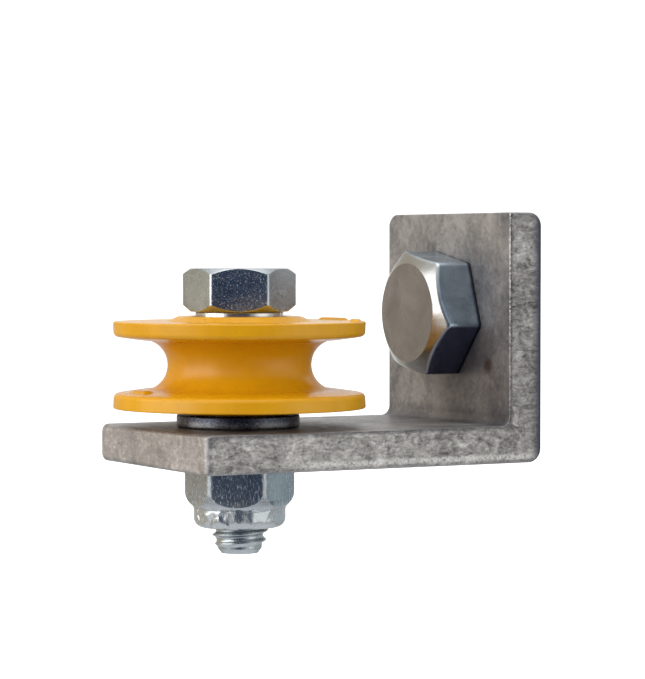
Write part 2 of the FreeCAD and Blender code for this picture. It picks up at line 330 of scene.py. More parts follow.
def nylon(name):
    """Moulded yellow nylon: faint flow marks, a fine grain and a soft sheen."""
    deep, mid, light = (0.68, 0.312, 0.0025), (0.735, 0.350, 0.003), (0.77, 0.375, 0.006)
    pale = (0.80, 0.45, 0.10)
    tree = Surface(name)
    cloud = tree.noise(0.12, 3.0, 0.5, warp=0.4)
    flow = tree.noise(0.5, 4.0, 0.55, tree.stretched((1, 1, 0.25)))
    blend = tree.total((0.6, cloud), (0.4, flow))
    colour = tree.ramp(blend, (0.30, deep), (0.52, mid), (0.72, light))
    speck = tree.between(tree.noise(2.2, 2.0, 0.5), 0.70, 0.80)
    colour = tree.painted(colour, pale, speck, 0.35)

    level = tree.between(tree.maths("ABSOLUTE", tree.axes(tree.facing)["Z"]), 0.96, 0.995)
    rough = tree.between(tree.noise(0.8, 4.0, 0.6), 0.3, 0.7, 0.26, 0.36)
    rough = tree.maths("SUBTRACT", rough, tree.times(level, 0.08))
    grain = tree.noise(3.5, 3.0, 0.6)
    ripple = tree.noise(0.35, 2.0, 0.5)
    normal = tree.bump(grain, 0.008, 0.35, tree.bump(ripple, 0.04, 0.4))
    return tree.principled({"Base Color": colour, "Roughness": rough, "Normal": normal,
                            "IOR": 1.50, "Specular IOR Level": 0.40,
                            "Subsurface Weight": 0.03,
                            "Subsurface Radius": (1.0, 0.45, 0.1),
                            "Subsurface Scale": 1.0 * MM})


# Greys of the angle from its darkest patches to its lightest: (height in the pattern, colour).
SAWN_GREYS = ((0.38, (0.058, 0.054, 0.053)), (0.45, (0.215, 0.202, 0.193)),
              (0.52, (0.415, 0.393, 0.373)), (0.62, (0.80, 0.765, 0.73)))
ROLLED_GREYS = ((0.38, (0.15, 0.148, 0.166)), (0.475, (0.29, 0.281, 0.285)),
                (0.58, (0.47, 0.455, 0.455)))
TIP_GREY = (0.74, 0.69, 0.68)


def galvanised(name):
    """Galvanised angle: its cut faces are coarsely mottled, its rolled faces smoother."""
    tree = Surface(name)
    facing, place = tree.axes(tree.facing), tree.axes(tree.place)
    sideways = tree.maths("ABSOLUTE", facing["Y"])
    front = tree.between(sideways, 0.55, 0.95)
    inward = tree.between(tree.times(facing["X"], -1.0), 0.7, 0.95)
    tip = tree.times(inward, tree.between_mm(place["X"], -50, -54))
    cut = tree.maths("MAXIMUM", front, tree.times(tip, 0.75))

    cloud = tree.noise(0.09, 3.0, 0.5, tree.stretched(shift_mm=(0, 0, 6)), 0.6)
    patch = tree.noise(0.42, 4.0, 0.6, warp=1.4)
    streak = tree.noise(0.55, 3.0, 0.6, tree.stretched((1.0, 1.0, 2.4), (0, 42, 0)), 1.2)
    speck = tree.noise(2.6, 3.0, 0.72, warp=0.3)
    grit = tree.noise(5.5, 2.0, 0.6)
    coarse = tree.total((0.16, cloud), (0.34, patch), (0.32, streak), (0.14, speck),
                        (0.04, grit))
    sawn = tree.painted(tree.ramp(coarse, *SAWN_GREYS), TIP_GREY, tip, 0.40)

    drawn = tree.noise(0.30, 4.0, 0.6, tree.stretched((1.0, 0.8, 0.55)), 1.0)
    mottle = tree.noise(1.1, 3.0, 0.6, warp=0.5)
    calm = tree.total((0.40, cloud), (0.20, drawn), (0.24, mottle), (0.12, speck),
                      (0.04, grit))
    rolled = leg_shade_and_stain(tree, tree.ramp(calm, *ROLLED_GREYS), place, inward, speck)
    colour = tree.mix(cut, rolled, sawn)
    colour = edge_lines_and_highlights(tree, colour, place, front, sideways, speck)

    rough = tree.between(coarse, 0.40, 0.60, 0.36, 0.56)
    normal = tree.add("ShaderNodeMix", {"data_type": "VECTOR"})
    share_in, first_in, second_in, vector_out = 0, 4, 5, 1
    tree.feed(normal.inputs[share_in], cut)
    tree.feed(normal.inputs[first_in], tree.bump(calm, 0.06, 0.5))
    tree.feed(normal.inputs[second_in], tree.bump(coarse, 0.16, 0.85))
    return tree.principled({"Base Color": colour, "Roughness": rough,
                            "Normal": normal.outputs[vector_out], "Metallic": 0.65})


def leg_shade_and_stain(tree, colour, place, inward, speck):
    """Painted shade on the upright leg's inner face: some all over, more low down towards the
    front, in the crease at its root and round the bolt's head. Also one brown rust stain.
    """
    leg_shade, root_shade, low_shade = (0.10, 0.105, 0.115), (0.085, 0.082, 0.100), (0.08, 0.075, 0.10)
    shadow, rust = (0.03, 0.03, 0.05), (0.060, 0.030, 0.014)

    # Painted shade over the leg's inner face, a little deeper towards its top.
    leg = tree.times(inward, tree.between_mm(place["X"], -10, -8))
    high = tree.between_mm(place["Z"], -10, 1, 0.04, 0.16)
    colour = tree.painted(colour, leg_shade, leg, high)

    # Painted shade in the crease at the leg's root.
    from_root = tree.distance((-THICK, 0, LEDGE), (1, 0, 1))
    root = tree.between_mm(from_root, 2.6, 0.8, 0.0, 0.42)
    colour = tree.painted(colour, root_shade, root)

    # Painted shade, deeper low on the leg and towards its front.
    low = tree.times(tree.between_mm(place["Z"], 4, -10), tree.between_mm(place["Y"], 11, -3), leg)
    colour = tree.painted(colour, low_shade, low, 0.34)

    from_bolt = tree.distance((0, 0, 0), (0, 1, 1))
    ring = tree.times(tree.between_mm(from_bolt, 15.0, 10.5), low)
    colour = tree.painted(colour, shadow, ring, 0.5)

    from_stain = tree.distance((0, -12.4, -8.4), (0, 1, 1))
    stain = tree.times(tree.between_mm(from_stain, 1.8, 0.6), leg, tree.between(speck, 0.15, 0.42))
    return tree.painted(colour, rust, stain, 0.80)


def edge_lines_and_highlights(tree, colour, place, front, sideways, speck):
    """Along the edges of the angle's cut faces: darker by the inner edges, a painted highlight
    along the bottom edge, painted glints on the burr of the leg's edge, a little darker on the
    upright, and a painted dark reflection on the rounded edges by the outer face.
    """
    inner_edge_dark, bottom_edge_highlight, burr_glint = (0.06, 0.06, 0.075), (0.92, 0.90, 0.86), (0.95, 0.94, 0.92)
    upright_paint, outer_edge_dark_reflection = (0.10, 0.095, 0.09), (0.048, 0.050, 0.085)

    past_face = tree.maths("ADD", place["X"], THICK * MM)
    below_ledge = tree.maths("SUBTRACT", LEDGE * MM, place["Z"])
    # Darker along the inner edges of the cut faces.
    inside = tree.maths("MAXIMUM", past_face, below_ledge)
    inner_edge_line = tree.times(tree.between_mm(inside, 0.7, 0.2), front)
    colour = tree.painted(colour, inner_edge_dark, inner_edge_line, 0.62)

    # Painted highlight in a speckled band along the rounded bottom edge of the cut faces.
    above = tree.maths("SUBTRACT", place["Z"], PLATE_BOTTOM * MM)
    band = tree.times(tree.between_mm(above, 1.7, 1.3), tree.between_mm(above, 0.5, 0.9), front,
                      tree.between_mm(place["X"], -52, -40), tree.between(speck, 0.35, 0.55))
    colour = tree.painted(colour, bottom_edge_highlight, band, 0.60)

    # The burr along the leg's inner edge, with painted glints: white specks, fewer low down.
    rim = tree.between_mm(tree.maths("ABSOLUTE", place["Y"]), 16.0, 16.5)
    at_face = tree.between_mm(tree.maths("ABSOLUTE", past_face), 0.25, 0.1)
    burr = tree.times(at_face, tree.between(sideways, 0.10, 0.30), rim,
                      tree.between_mm(below_ledge, -1, -2), tree.between(speck, 0.47, 0.56),
                      tree.between_mm(place["Z"], -12, 2, 0.28, 0.60))
    colour = tree.painted(colour, burr_glint, burr)

    upright = tree.times(front, tree.between_mm(place["X"], -7.5, -6.0))
    colour = tree.painted(colour, upright_paint, upright, 0.10)

    # Painted dark reflection on the rounded edges next to the outer face.
    rolled = tree.times(tree.between(sideways, 0.03, 0.18),
                        tree.between_mm(place["X"], -2.0, -0.4), rim)
    return tree.painted(colour, outer_edge_dark_reflection, rolled)


def forged_skin(tree, drawn=1.0):
    """A faintly uneven skin, the fine crystals on it (drawn out along Z), and both mixed."""
    cloud = tree.noise(0.22, 3.0, 0.5, warp=0.5)
    crystal = tree.noise(4.8, 2.0, 0.6, tree.stretched((1, 1, drawn)))
    return cloud, crystal, tree.total((0.65, cloud), (0.35, crystal))


# How light the skin's dark and light patches and its frost are, and how far below the angle the
# nut's collar starts and takes its full marks, in mm.
DARKER, LIGHTER, FROST_GREY = 0.82, 1.12, 0.83
COLLAR_START, COLLAR_FULL = 5.2, 7.0
COLLAR_GREY = (0.78, 0.81, 0.82)


def zinc(name, base, rough, sparkle, tint=(1, 1, 1), drawn=1.0, metal=1.0, dented=False):
    """Bright zinc plating: pale crystals scattered over a faintly uneven forged skin.

    base is how light it is and tint its colour, rough its least and most roughness, sparkle how
    much the crystals show. dented adds the marks on a nut's collar."""
    tree = Surface(name)
    cloud, crystal, mixed = forged_skin(tree, drawn)
    dark = tuple(DARKER * base * part for part in tint)
    light = tuple(min(1.0, LIGHTER * base * part) for part in tint)
    frost = tuple(min(1.0, FROST_GREY * part * part) for part in tint)
    colour = tree.ramp(mixed, (0.34, dark), (0.66, light))
    pale = tree.times(tree.between(crystal, 0.53, 0.70), sparkle)
    colour = tree.painted(colour, frost, pale, 0.5)
    under = tree.bump(cloud, 0.05, 0.4)
    if dented:
        collar = tree.between_mm(tree.axes(tree.place)["Z"], PLATE_BOTTOM - COLLAR_START,
                                 PLATE_BOTTOM - COLLAR_FULL)
        colour = tree.painted(colour, COLLAR_GREY, collar, 0.40)
        dents = tree.noise(0.32, 0.8, 0.4, tree.stretched(shift_mm=(0.9, 0, 0)), 0.8)
        under = tree.bump(tree.times(dents, collar), 0.75, 1.0, under)
    return tree.principled({
        "Base Color": colour, "Roughness": tree.between(cloud, 0.3, 0.7, *rough),
        "Normal": tree.bump(crystal, 0.03 * sparkle, 0.8, under),
        "Metallic": tree.maths("SUBTRACT", metal, tree.times(pale, 0.42))})


def dull_zinc(name):
    """Zinc on the mounting bolt: warm on the crown, slate blue on the flats, with a painted dark
    reflection on the head's lower flats and a painted shadow at the seat.
    """
    crown_dark, crown_light = (0.315, 0.307, 0.325), (0.415, 0.404, 0.425)
    flat_dark, flat_light = (0.30, 0.37, 0.44), (0.52, 0.62, 0.70)
    down_flat_dark_reflection, chamfer_paint = (0.120, 0.135, 0.220), (0.50, 0.51, 0.505)
    seat_shadow_paint = (0.018, 0.022, 0.045)

    tree = Surface(name)
    facing, along = tree.axes(tree.facing), tree.axes(tree.place)["X"]
    cloud = tree.noise(0.20, 3.0, 0.5, warp=0.5)
    speck = tree.noise(2.6, 3.0, 0.6)
    mixed = tree.total((0.75, cloud), (0.25, speck))
    crown = tree.ramp(mixed, (0.34, crown_dark), (0.66, crown_light))
    flats = tree.ramp(mixed, (0.34, flat_dark), (0.66, flat_light))
    # Painted dark reflection on the head's flats that face down.
    low = tree.between(facing["Z"], -0.2, -0.5)
    on_head = tree.between_mm(along, 1.0 - THICK, -THICK)
    flats = tree.painted(flats, down_flat_dark_reflection, low, on_head)

    outward = tree.maths("ABSOLUTE", facing["X"])
    colour = tree.painted(flats, chamfer_paint, tree.between(outward, 0.25, 0.6))
    colour = tree.mix(tree.between(outward, 0.90, 0.98), colour, crown)
    # Painted shadow where the head's seat meets the angle.
    seat_shadow = tree.times(tree.between_mm(along, -THICK - 0.80, -THICK - 0.35),
                      tree.between_mm(along, 0.5 - THICK, -THICK))
    colour = tree.painted(colour, seat_shadow_paint, seat_shadow, 0.9)
    rough = tree.between(cloud, 0.3, 0.7, 0.22, 0.30)
    normal = tree.bump(speck, 0.006, 0.6, tree.bump(cloud, 0.10, 0.4))
    return tree.principled({"Base Color": colour, "Roughness": rough, "Normal": normal,
                            "Metallic": 0.95})


def dark_steel(name):
    """Blackened washer: a speckled rim, with a painted highlight: lighter metal along its lower
    half.
    """
    dark, light = (0.060, 0.064, 0.086), (0.082, 0.088, 0.118)
    lower_rim_highlight, frost = (0.40, 0.41, 0.42), (0.56, 0.60, 0.76)
    tree = Surface(name)
    cloud, crystal, mixed = forged_skin(tree)
    colour = tree.ramp(mixed, (0.34, dark), (0.66, light))
    # Painted highlight: the lower half of the rim is lighter metal.
    low = tree.between_mm(tree.axes(tree.place)["Z"], LEDGE + 1.35, LEDGE + 0.85)
    colour = tree.painted(colour, lower_rim_highlight, low, tree.between(mixed, 0.36, 0.56), 0.8)
    pale = tree.between(crystal, 0.53, 0.70)
    colour = tree.painted(colour, frost, pale, 0.45)
    rough = tree.between(cloud, 0.3, 0.7, 0.28, 0.40)
    metal = tree.maths("SUBTRACT", 1.0, tree.times(pale, 0.45))
    normal = tree.bump(crystal, 0.039, 0.8, tree.bump(cloud, 0.05, 0.4))
    return tree.principled({"Base Color": colour, "Roughness": rough, "Normal": normal,
                            "Metallic": metal})


def white_nylon(name):
    """Natural nylon of the nut's locking ring."""
    tree = Surface(name)
    cloud = tree.noise(0.5, 3.0, 0.5)
    colour = tree.ramp(cloud, (0.3, (0.62, 0.64, 0.64)), (0.7, (0.74, 0.75, 0.74)))
    normal = tree.bump(tree.noise(3.0, 2.0, 0.5), 0.01, 0.5)
    return tree.principled({"Base Color": colour, "Roughness": 0.45, "Normal": normal,
                            "IOR": 1.53, "Subsurface Weight": 0.1,
                            "Subsurface Scale": 0.8 * MM})


# ---------------------------------------------------------------- turned shapes, in mm

def filleted(corners, steps=5, most=0.49):
    """Outline whose corners (across, along, radius) are arcs; a radius of 0 leaves one sharp.

    most is the largest share of an edge that one arc may take."""
    count = len(corners)
    places = [Vector(corner[:2]) for corner in corners]
    outline = []
    for index, (_, _, radius) in enumerate(corners):
        here = places[index]
        if radius <= 0:
            outline.append(here)
            continue
        back = places[index - 1] - here
        ahead = places[(index + 1) % count] - here
        half = back.angle(ahead) / 2
        reach = min(radius / math.tan(half), most * back.length, most * ahead.length)
        radius = reach * math.tan(half)
        start = here + back.normalized() * reach
        end = here + ahead.normalized() * reach
        inward = (back.normalized() + ahead.normalized()).normalized()
        centre = here + inward * (radius / math.sin(half))
        sweep = math.pi - 2 * half
        for step in range(steps + 1):
            rest = math.sin(sweep * (steps - step) / steps) / math.sin(sweep)
            share = math.sin(sweep * step / steps) / math.sin(sweep)
            outline.append(centre + (start - centre) * rest + (end - centre) * share)
    return outline


def pairs(outline):
    """Outline as plain (radius, height) pairs."""
    return [tuple(point) for point in outline]


SAME_PLACE_M = 1e-7


def skin(columns, ring, helix=None):
    """Mesh over columns of points, one column for each step round the axis.

    ring closes each column on itself. helix is (first row, last row, rows in one turn): between
    those rows the first column meets the last one a whole turn further along."""
    bm = bmesh.new()
    sheet = [[bm.verts.new(point) for point in column] for column in columns]
    rows = len(columns[0])
    for index, column in enumerate(sheet):
        last = index == len(sheet) - 1
        beside = sheet[0] if last else sheet[index + 1]
        for row in range(rows if ring else rows - 1):
            below = (row + 1) % rows
            lag = 0
            if last and helix and helix[0] + helix[2] <= row < helix[1]:
                lag = helix[2]
            bm.faces.new((column[row], beside[row - lag], beside[below - lag], column[below]))
    bmesh.ops.remove_doubles(bm, verts=bm.verts, dist=SAME_PLACE_M)
    rims = [edge for edge in bm.edges if edge.is_boundary]
    if rims:
        bmesh.ops.holes_fill(bm, edges=rims, sides=0)
    bmesh.ops.recalc_face_normals(bm, faces=bm.faces)
    return bm


def add_piece(name, bm, surface, body, slot, *replaced):
    """Piece from a mesh that takes the place of CAD nodes and rides on their body."""
    for face in bm.faces:
        face.smooth = True
    mesh = bpy.data.meshes.new(name)
    bm.to_mesh(mesh)
    bm.free()
    mesh.materials.append(surface)
    piece = bpy.data.objects.new(name, mesh)
    bpy.context.collection.objects.link(piece)
    piece.modifiers.new("flat_faces", "WEIGHTED_NORMAL")
    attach(piece, body)
    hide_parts(*replaced)


def columns_of(section_at, angles, centre, basis=HEAD_UP):
    """Columns of points: section_at(angle) is the half section there, as (radius, height)."""
    columns = []
    for angle in angles:
        way = Vector((math.cos(angle), math.sin(angle), 0))
        columns.append([(centre + basis @ (way * radius + Vector((0, 0, height)))) * MM
                        for radius, height in section_at(angle)])
    return columns


def even_angles(count):
    """Angles in equal steps all the way round."""
    return [2 * math.pi * step / count for step in range(count)]


# ---------------------------------------------------------------- hexagons and threads, in mm

# Degrees either side of the middle of a flat at which a hexagon gets a column of points.
FLAT_STEPS = (0, 3, 6, 9, 12, 15, 18, 20, 22, 23.5, 24.5, 25.5, 26.5, 27.5, 28.5, 29.5)
SIDE, HALF_SIDE = 60, 30


def hex_angles(first_corner):
    """Angles round a hexagon, close together at its corners."""
    steps = sorted({-angle for angle in FLAT_STEPS} | set(FLAT_STEPS))
    return sorted(math.radians((first_corner + HALF_SIDE + SIDE * side + angle) % 360)
                  for side in range(6) for angle in steps)


def hex_radius(angle, first_corner, flats, corners, soften=0.12):
    """Distance from the axis to a hexagon whose corners are turned down to a circle.

    soften is how far apart flat and circle may be where they still blend."""
    off = (math.degrees(angle) - first_corner) % SIDE - HALF_SIDE
    flat = flats / 2 / math.cos(math.radians(off))
    near = max(soften - abs(flat - corners / 2), 0) / soften
    return min(flat, corners / 2) - near * near * soften / 4


# Shares of the pitch: where the rows of one turn lie, half the crest's flat, and one flank.
CREST_TO_CREST = (0.0, 0.06, 0.13, 0.28, 0.40, 0.46, 0.54, 0.60, 0.72, 0.87, 0.94)
HALF_CREST, FLANK = 0.13, 0.67


def threaded(angle, shape, worn):
    """Half section of a bolt's right-hand thread, down to its end.

    Its rows follow the helix, and stop at the two ends. worn lists, from the end up, the height
    above it, the largest radius there and the share of the thread's depth that is left."""
    turn = angle / (2 * math.pi)
    start, end = shape.thread_top, shape.end
    points = []
    for whole in range(-1, int((start - end) / shape.pitch) + 3):
        for phase in CREST_TO_CREST:
            height = min(max(start - (whole + phase - turn) * shape.pitch, end), start)
            along = ((start - height) / shape.pitch + turn) % 1.0
            off_crest = 1.0 - abs(along - 0.5) * 2
            cut = min(max((off_crest - HALF_CREST) / FLANK, 0.0), 1.0)
            limit, share = worn_at(worn, height - end)
            root = shape.depth * share * math.sin(cut * math.pi / 2)
            points.append((min(shape.crest, limit) - root, height))
    return points


def worn_at(worn, height):
    """Largest radius and share of depth at a height above a bolt's end."""
    for (low, radius_0, share_0), (high, radius_1, share_1) in zip(worn, worn[1:]):
        if height <= high:
            part = (height - low) / (high - low)
            return radius_0 + (radius_1 - radius_0) * part, share_0 + (share_1 - share_0) * part
    return worn[-1][1:]


# ---------------------------------------------------------------- the bolts

# Alike on both bolts: how near the axis the mesh closes, the radii and least sizes of the head's
# corners, the step from neck to thread, the thread's run-out, and steps in from the end's rim.
AXIS_GAP = 0.3
CROWN_ROUND, SEAT_ROUND = 0.3, 0.08
NECK_FILLET, NECK_ROUND = 0.4, 0.1
LEAST_CHAMFER, LEAST_SEAT, SEAT_INSET = 0.01, 0.02, 0.03
THREAD_GAP = 0.05
RUN_OUT = 1.0
END_FACE_STEPS = (0.05, 0.5)


def bolt_head(angle, shape):
    """Half section of a bolt from the middle of its crown down to where its thread starts."""
    crown, seat, neck = shape.crown / 2, shape.seat / 2, shape.neck / 2
    reach = hex_radius(angle, shape.first_corner, shape.flats, shape.corners)
    crown_drop = max(reach - crown, LEAST_CHAMFER) * math.tan(math.radians(shape.crown_slope))
    seat_rise = max(reach - seat, LEAST_SEAT) * math.tan(math.radians(shape.seat_slope))
    return pairs(filleted([
        (AXIS_GAP, shape.top, 0),
        (crown, shape.top, CROWN_ROUND),
        (reach, shape.top - crown_drop, shape.soft),
        (reach, shape.under + seat_rise, shape.soft),
        (min(seat, reach - SEAT_INSET), shape.under, SEAT_ROUND),
        (neck + NECK_FILLET, shape.under, NECK_ROUND),
        (neck, shape.under - NECK_FILLET, NECK_ROUND),
        (neck, shape.thread_top + THREAD_GAP, 0)], steps=4))


def hex_bolt(name, shape, centre, basis, surface, body, slot, node):
    """Bolt with its head up and its thread down the local axis.

    shape gives its sizes. Across: flats, corners, the crown's flat, the seat and the neck.
    Heights: top, under the head, thread_top and end. Slopes of crown and seat are in degrees,
    soft rounds the edges between them, and crest and depth are the thread's radius and depth."""
    length = shape.thread_top - shape.end
    worn = shape.worn + ((length - RUN_OUT, shape.crest, 1.0), (length, shape.neck / 2, 0.0))

    def section(angle):
        thread = threaded(angle, shape, worn)
        rim = thread[-1][0]
        face = [(rim - step, shape.end) for step in END_FACE_STEPS] + [(AXIS_GAP, shape.end)]
        return bolt_head(angle, shape) + thread + face

    columns = columns_of(section, hex_angles(shape.first_corner), centre, basis)
    first_row = len(bolt_head(0, shape))
    last_row = first_row + len(threaded(0, shape, worn)) - 1
    helix = (first_row, last_row, len(CREST_TO_CREST))
    add_piece(name, skin(columns, False, helix), surface, body, slot, node)


def make_axle(surface):
    """M10 bolt: trimmed hexagon above, plain shank in the bush, worn thread end below.

    Its thread starts in the angle's hole, at the height that places its crests below the nut."""
    shape = SimpleNamespace(
        first_corner=32.5, flats=15.66, corners=17.88, soft=0.16,
        top=HEAD_TOP, crown=15.6, crown_slope=38, under=SEAT, seat=15.5, seat_slope=41,
        neck=9.9, thread_top=-21.985, end=AXLE_END, pitch=1.5, crest=4.93, depth=0.88,
        worn=((0.0, 2.95, 0.0), (0.75, 3.50, 0.0), (1.5, 4.0, 0.45), (2.25, 4.28, 0.62),
              (3.5, 4.45, 0.75), (4.4, 4.93, 1.0)))
    hex_bolt("axle_bolt_m10", shape, AXLE_CENTRE, HEAD_UP, surface, "bracket", "axle_zinc",
             "axle_bolt")


def make_mounting_bolt(surface):
    """M12 bolt through the upright leg, head inside."""
    shape = SimpleNamespace(
        first_corner=19.24, flats=18.6, corners=21.15, soft=0.9,
        top=-CROWN_X, crown=16.1, crown_slope=33, under=THICK, seat=21.2, seat_slope=30,
        neck=10.9, thread_top=0.0, end=-STUD_END, pitch=1.75, crest=5.95, depth=1.05,
        worn=((0.0, 4.8, 0.0), (1.2, 5.95, 0.9), (1.6, 5.95, 1.0)))
    hex_bolt("mounting_bolt_m12", shape, BOLT_CENTRE, HEAD_INWARD, surface, "bolt", "bolt_zinc",
             "mounting_bolt")


# ---------------------------------------------------------------- nut and rings

# Points of the nut's upper face: out from the bore or in from a flat, and down from the face.
NUT_COUNTERSINK = ((0.0, 0.5), (0.12, 0.2), (0.5, 0.0))
NUT_EDGE = ((0.15, 0.0), (0.04, 0.04), (0.0, 0.15))


def make_nut(surface):
    """Lock nut: a hexagon whose lower corners curve in, then the round collar over the ring."""
    first_corner, flats, circle, soften = 28.8, 15.5, 8.7, 0.2
    straight, curve, curve_steps = 4.0, 3.0, 16
    shoulder, collar, lip = 7.62, 7.3, 5.5
    bore, pocket, slack = 5.05, 6.2, 0.05
    foot = PLATE_BOTTOM
    last_turn = math.acos(1 - (circle - shoulder) / curve)
    valley = foot - straight - curve * math.sin(last_turn)
    collar_side = pairs(filleted([
        (shoulder - 0.05, valley - 0.06, 0), (collar, valley - 0.36, 0.9),
        (collar, NUT_END, 2.1), (lip, NUT_END, 0.2),
        (lip, RING_LOW - slack, 0.1), (pocket, RING_LOW - slack, 0.1),
        (pocket, RING_TOP + slack, 0.1), (bore, RING_TOP + slack, 0.1)], steps=8, most=0.85))

    def section(angle):
        reach = hex_radius(angle, first_corner, flats, circle * 2, soften)
        first_turn = math.acos(1 - (circle - reach) / curve)
        seat = [(bore + out, foot - down) for out, down in NUT_COUNTERSINK]
        seat += [(reach - inside, foot - down) for inside, down in NUT_EDGE]
        turns = [first_turn + (last_turn - first_turn) * step / curve_steps
                 for step in range(curve_steps + 1)]
        bend = [(circle - curve * (1 - math.cos(turn)), foot - straight - curve * math.sin(turn))
                for turn in turns]
        return seat + bend + collar_side

    columns = columns_of(section, hex_angles(first_corner), AXLE_CENTRE)
    add_piece("lock_nut_m10", skin(columns, True), surface, "bracket", "nut_zinc", "lock_nut")


RING_COLUMNS = 192


def make_ring(name, section, surface, slot, node, aside=(0, 0)):
    """Ring round the axle from a closed outline of (radius, height, corner radius)."""
    outline = pairs(filleted(section))
    centre = AXLE_CENTRE + Vector((*aside, 0))
    columns = columns_of(lambda angle: outline, even_angles(RING_COLUMNS), centre)
    add_piece(name, skin(columns, True), surface, "bracket", slot, node)


def make_bush(surface):
    """Steel bush in the wheel's bore, clamped under the bolt's head."""
    bore, outer = 5.1, 7.0
    section = [(bore, WASHER_TOP, 0.2), (outer, WASHER_TOP, 0.25), (outer, SEAT, 0.25),
               (bore, SEAT, 0.2)]
    make_ring("steel_bush", section, surface, "bush_steel", "bearing_bush")


def make_washer(surface):
    """Punched washer, a little off centre."""
    bore, outer = 5.25, 9.75
    section = [(bore, LEDGE, 0.12), (outer, LEDGE, 0.45), (outer, WASHER_TOP, 0.2),
               (bore, WASHER_TOP, 0.25)]
    make_ring("dark_washer", section, surface, "washer_steel", "flat_washer", (-0.2, 0.1))


def make_locking_ring(surface):
    """Nylon ring in the nut's collar."""
    bore, outer, corner = 4.85, 6.15, 0.1
    section = [(bore, RING_LOW, corner), (outer, RING_LOW, corner), (outer, RING_TOP, corner),
               (bore, RING_TOP, corner)]
    make_ring("nylon_ring", section, surface, "insert_nylon", "lock_nut_insert")


# ---------------------------------------------------------------- the wheel

# Raised bars moulded on the wheel: the two angles of their ends, the two radii of their sides,
# their height, and the width over which their sides slope.
TOP_BARS = ((-41.0, -17.0, 17.6, 19.5, 0.36, 0.6), (-3.0, 17.0, 17.6, 19.5, 0.36, 0.6))
GROOVE_BARS = ((169.0, 188.0, 16.0, 18.2, 0.42, 0.95),)
SLOPE_STEPS = 5
WHEEL_COLUMNS = 240


def bar_height(bars, angle, radius):
    """Height of the bars at a place on the flange."""
    height = 0.0
    for first, last, inner, outer, rise, edge in bars:
        middle, half = math.radians((first + last) / 2), math.radians((last - first) / 2)
        around = abs(math.remainder(angle - middle, 2 * math.pi))
        inside = min((half - around) * radius, radius - inner, outer - radius)
        share = min(max(inside / edge, 0.0), 1.0)
        height = max(height, rise * share * share * (3 - 2 * share))
    return height


def bar_radii(bars):
    """Radii at which a flange gets points for its bars."""
    inner, outer, _, edge = bars[0][2:]
    side = [edge * step / SLOPE_STEPS for step in range(SLOPE_STEPS + 1)]
    return [inner + step for step in side] + [outer - step for step in reversed(side)]


def wheel_angles():
    """Even steps round the wheel, with more at the ends of the bars."""
    angles = even_angles(WHEEL_COLUMNS)
    for first, last, _, outer, _, edge in TOP_BARS + GROOVE_BARS:
        slope = math.degrees(edge / outer)
        for step in range(SLOPE_STEPS):
            inside = slope * (step + 0.5) / SLOPE_STEPS
            angles += [math.radians((first + inside) % 360), math.radians((last - inside) % 360)]
    return sorted(angles)


def wheel_outline():
    """Closed half section about the wheel's middle plane, from its bore's lower end outwards.

    With it come the rows that carry the bars: those of the top face and of the lower flank."""
    end_gap, least_step = 0.13, 0.02
    half = (HUB_HIGH - HUB_LOW) / 2 - end_gap
    bore, chamfer, boss_top, boss_base, boss_rise = 7.05, 0.5, 9.7, 11.5, 0.82
    neck, groove, groove_steps = 11.4, 4.0, 40
    flare, draft, band = math.radians(8.0), 0.12, 0.5
    face = -half + boss_rise
    centre = neck + groove
    tangent = centre + groove * math.sin(flare)
    lip = groove * math.cos(flare)
    mouth = lip + (WHEEL_R - tangent) * math.tan(flare)

    shoulder = filleted([
        (bore, -half + chamfer, 0.1), (bore + chamfer, -half, 0.15), (boss_top, -half, 0.9),
        (boss_base, face, 2.0), (WHEEL_R - band, face, 0)], steps=6)
    rim = filleted([
        (WHEEL_R - band, face, 0), (WHEEL_R, face, 0.45), (WHEEL_R - draft, -mouth, 0.8),
        (tangent, -lip, 0)], steps=6)
    outer_face = [Vector((radius, face)) for radius in bar_radii(TOP_BARS)]
    flank = [Vector((radius, -lip - (radius - tangent) * math.tan(flare)))
             for radius in reversed(bar_radii(GROOVE_BARS)) if radius > tangent + least_step]
    lower = shoulder[:-1] + outer_face + rim[1:-1] + flank + rim[-1:]
    upper = [Vector((point.x, -point.y)) for point in reversed(lower)]
    sweep = math.pi + 2 * flare
    turns = [sweep * step / groove_steps - flare for step in range(1, groove_steps)]
    neck_arc = [Vector((centre - groove * math.sin(turn), -groove * math.cos(turn)))
                for turn in turns]
    outline = lower + neck_arc + upper

    first_flank = len(lower) - 1 - len(flank)
    first_top = len(outline) - len(shoulder) + 1 - len(outer_face)
    flank_rows = range(first_flank, first_flank + len(flank))
    top_rows = range(first_top, first_top + len(outer_face))
    return outline, top_rows, flank_rows


def make_wheel(surface):
    """Nylon wheel with a boss, a round-bottomed groove, flared flanks and moulded bars."""
    outline, top_rows, flank_rows = wheel_outline()
    middle = (HUB_LOW + HUB_HIGH) / 2

    def section(angle):
        points = []
        for index, point in enumerate(outline):
            lift = 0.0
            if index in top_rows:
                lift = bar_height(TOP_BARS, angle, point.x)
            if index in flank_rows:
                lift = bar_height(GROOVE_BARS, angle, point.x)
            points.append((point.x, point.y + middle + lift))
        return points

    columns = columns_of(section, wheel_angles(), AXLE_CENTRE)
    add_piece("yellow_wheel", skin(columns, True), surface, "wheel", "wheel_nylon",
              "roller_wheel")


# ---------------------------------------------------------------- the angle

# Depths behind a cut face at which the angle gets an outline: close together where it is rounded.
DEPTHS = (0, 0.02, 0.06, 0.11, 0.17, 0.24, 0.32, 0.42, 0.55, 0.7, 0.85, 1.0, 1.2, 1.4, 1.6, 1.9,
          2.2, 2.5)
